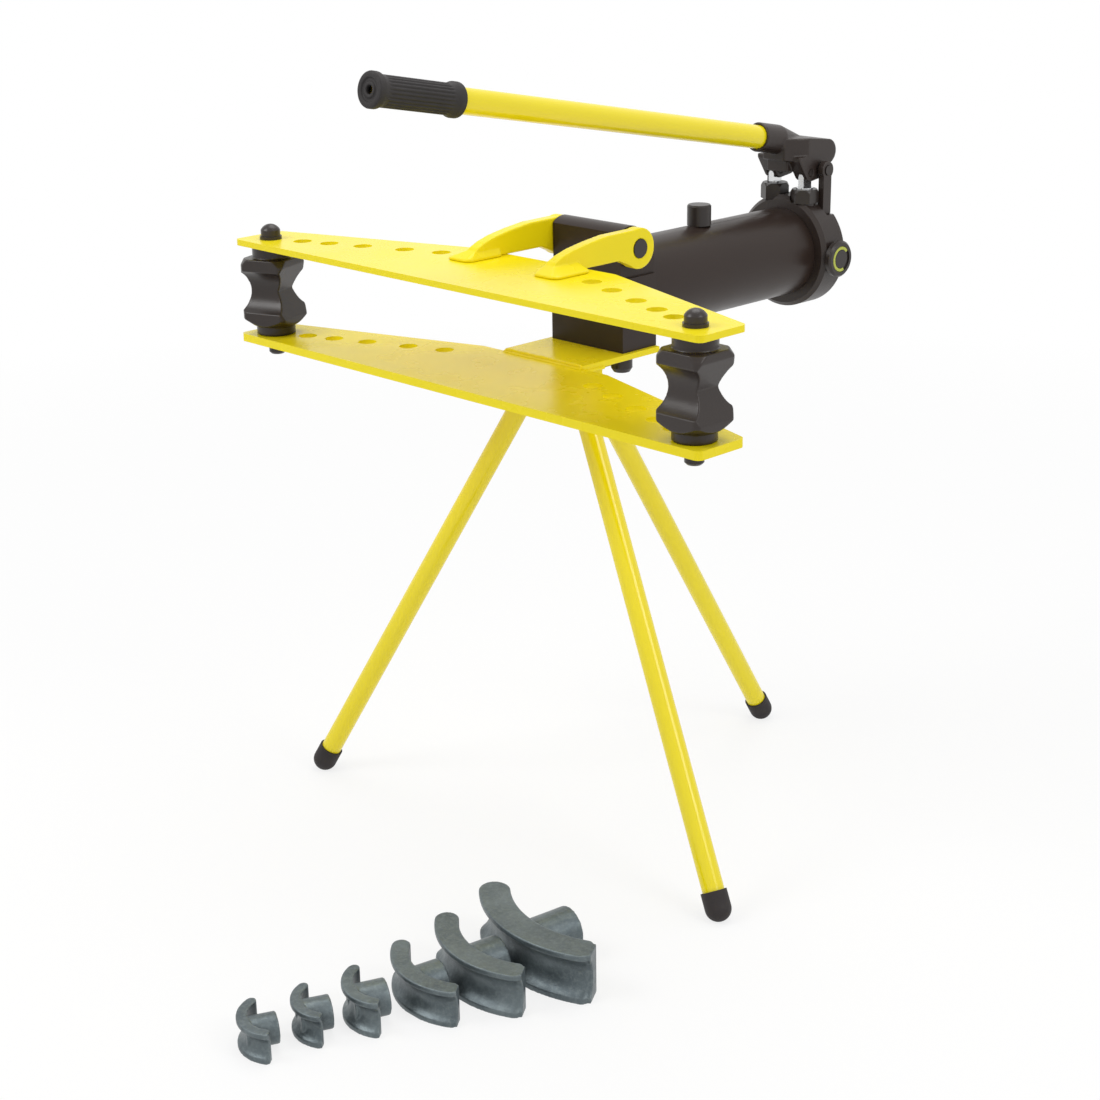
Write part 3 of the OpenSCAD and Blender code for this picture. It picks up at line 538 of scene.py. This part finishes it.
def valve_mark():
    """The pale ring, open on one side, in the groove of the release valve's knob."""
    steps = 48
    rings = []
    for i in range(steps + 1):
        turn = math.radians(MARK_START + MARK_SPAN * i / steps)
        out = Vector((0, math.cos(turn), math.sin(turn)))
        rings.append([VALVE_FACE + out * r * MM + Vector((lift * MM, 0, 0)) for r, lift in MARK_SECTION])
    points, faces = rings_to_shell(rings)
    link("release_valve_mark", mesh_of(points, faces), PALE_MARK, "release_valve")


valve_mark()


# ---------------------------------------------------------------- weld beads

RIPPLE_PITCH = 2.4
SEAT_EDGE_X = 53.2
SEAT_BEAD_R = 3.0
SIDE_BEAD_R = 1.6


def bead(path, radius):
    """A weld bead along the points of path: overlapping ripples, a little uneven."""
    points = [Vector(p) for p in path]
    lengths = [0.0]
    for a, b in zip(points, points[1:]):
        lengths.append(lengths[-1] + (b - a).length)
    steps = max(8, int(lengths[-1] / (RIPPLE_PITCH * MM / 5)))
    rings = []
    for i in range(steps + 1):
        at = lengths[-1] * i / steps
        k = max(j for j in range(len(points) - 1) if lengths[j] <= at + 1e-12)
        centre = points[k].lerp(points[k + 1], (at - lengths[k]) / (lengths[k + 1] - lengths[k]))
        along = (points[k + 1] - points[k]).normalized()
        side = along.cross(Vector((0, 0, 1))).normalized()
        up = side.cross(along)
        phase = at / (RIPPLE_PITCH * MM)
        swell = 1 + 0.09 * abs(math.sin(math.pi * phase)) + 0.05 * math.sin(phase * 0.7) - 0.04
        swell *= min(1.0, 0.35 + min(i, steps - i) / 6)
        r = radius * MM * swell
        turns = [2 * math.pi * j / 12 for j in range(12)]
        rings.append([centre + side * r * math.cos(turn) + up * r * math.sin(turn) for turn in turns])
    return rings_to_shell(rings)


def seat_welds():
    """Beads where the seat plate meets the lower wing, and along the seat plate's two sides."""
    beads = [bead([wings(x, 128.2, 0.6) for x in (-52, -26, 0, 26, 52)], SEAT_BEAD_R)]
    for side in (-1, 1):
        beads.append(bead([wings(side * SEAT_EDGE_X, y, -3.2) for y in (129, 140, 150, 157)], SIDE_BEAD_R))
    link("seat_weld_beads", mesh_of(*joined(beads)), YELLOW, node_body["seat_plate"])


seat_welds()


# ---------------------------------------------------------------- stage, light and camera

WHITE = (1, 1, 1, 1)
FLOOR_HALF = 30
# Share of plain white in the floor as the camera sees it: near the stand, and far from it
FLOOR_NEAR, FLOOR_FAR = (0.7, 0.78), (2.2, 1.0)
SKY_LIGHT = 0.55
STAGE_MIDDLE = (0, 0, 0.5)
# name, place, size and power
SOFTBOXES = (
    ("key_light", (-1.0, -1.9, 2.3), (1.2, 1.2), 26),
    ("fill_light", (2.2, 0.3, 1.9), (1.0, 1.4), 16),
    ("top_light", (-0.3, 0.6, 2.6), (1.6, 1.6), 22),
)
CAMERA_PLACE = (1.3408, -1.2564, 0.9396)
CAMERA_FORWARD = (-0.6741, 0.6578, -0.3361)
CAMERA_RIGHT = (0.7021, 0.7119, -0.0148)
CAMERA_LENS = 65.8


def either(tree, a, b):
    """1 where one of two ray kinds is met."""
    return add_node(tree, "ShaderNodeMath", {0: a, 1: b}, operation="MAXIMUM").outputs[0]


def floor():
    """A pale floor that keeps a soft shadow and fades to white away from the stand."""
    h = FLOOR_HALF
    mesh = mesh_of([(-h, -h, 0), (h, -h, 0), (h, h, 0), (-h, h, 0)], [(0, 1, 2, 3)])
    obj = bpy.data.objects.new("floor", mesh)
    bpy.context.scene.collection.objects.link(obj)
    m = Material("pale_floor", Roughness=0.9, Specular_IOR_Level=0.1)
    m.shader.inputs["Base Color"].default_value = (0.9, 0.9, 0.9, 1)
    rays = m.add("ShaderNodeLightPath").outputs
    seen = either(m.tree, rays["Is Camera Ray"], rays["Is Glossy Ray"])
    far = m.add("ShaderNodeVectorMath", {0: m.place}, operation="LENGTH").outputs["Value"]
    fade = m.add("ShaderNodeMapRange", {
        "Value": far, "From Min": FLOOR_NEAR[0], "From Max": FLOOR_FAR[0],
        "To Min": FLOOR_NEAR[1], "To Max": FLOOR_FAR[1],
    }).outputs[0]
    glow = m.add("ShaderNodeEmission", {"Color": WHITE, "Strength": 1.0}).outputs[0]
    mix = m.add("ShaderNodeMixShader", {0: m.product(seen, fade), 1: m.shader.outputs[0], 2: glow})
    m.tree.links.new(mix.outputs[0], m.tree.nodes["Material Output"].inputs["Surface"])
    paint_piece(obj, m.material)


def world():
    """White where it is seen, and dimmer as a source of light."""
    made = bpy.data.worlds.new("studio")
    bpy.context.scene.world = made
    made.use_nodes = True
    tree = made.node_tree
    tree.nodes.clear()
    rays = add_node(tree, "ShaderNodeLightPath").outputs
    seen = either(tree, rays["Is Camera Ray"], rays["Is Glossy Ray"])
    seen = either(tree, seen, rays["Is Transmission Ray"])
    sky = add_node(tree, "ShaderNodeBackground", {"Color": WHITE, "Strength": SKY_LIGHT}).outputs[0]
    backdrop = add_node(tree, "ShaderNodeBackground", {"Color": WHITE, "Strength": 1.0}).outputs[0]
    mix = add_node(tree, "ShaderNodeMixShader", {0: seen, 1: sky, 2: backdrop}).outputs[0]
    add_node(tree, "ShaderNodeOutputWorld", {"Surface": mix})


def softbox(name, place, size, power):
    data = bpy.data.lights.new(name, "AREA")
    data.shape, data.size, data.size_y, data.energy = "RECTANGLE", size[0], size[1], power
    obj = bpy.data.objects.new(name, data)
    bpy.context.scene.collection.objects.link(obj)
    obj.location = place
    obj.rotation_mode = "QUATERNION"
    obj.rotation_quaternion = (Vector(STAGE_MIDDLE) - Vector(place)).to_track_quat("-Z", "Y")


def camera():
    data = bpy.data.cameras.new("photo_view")
    data.lens, data.sensor_width = CAMERA_LENS, 36.0
    data.clip_start, data.clip_end = 0.05, 100
    obj = bpy.data.objects.new("photo_view", data)
    bpy.context.scene.collection.objects.link(obj)
    forward = Vector(CAMERA_FORWARD).normalized()
    right = Vector(CAMERA_RIGHT)
    right = (right - forward * right.dot(forward)).normalized()
    up = right.cross(forward)
    turn = Matrix((right, up, -forward)).transposed()
    obj.matrix_world = Matrix.Translation(CAMERA_PLACE) @ turn.to_4x4()
    bpy.context.scene.camera = obj


floor()
world()
for box in SOFTBOXES:
    softbox(*box)
camera()
bpy.context.scene.view_settings.view_transform = "Standard"

bpy.context.view_layer.update()
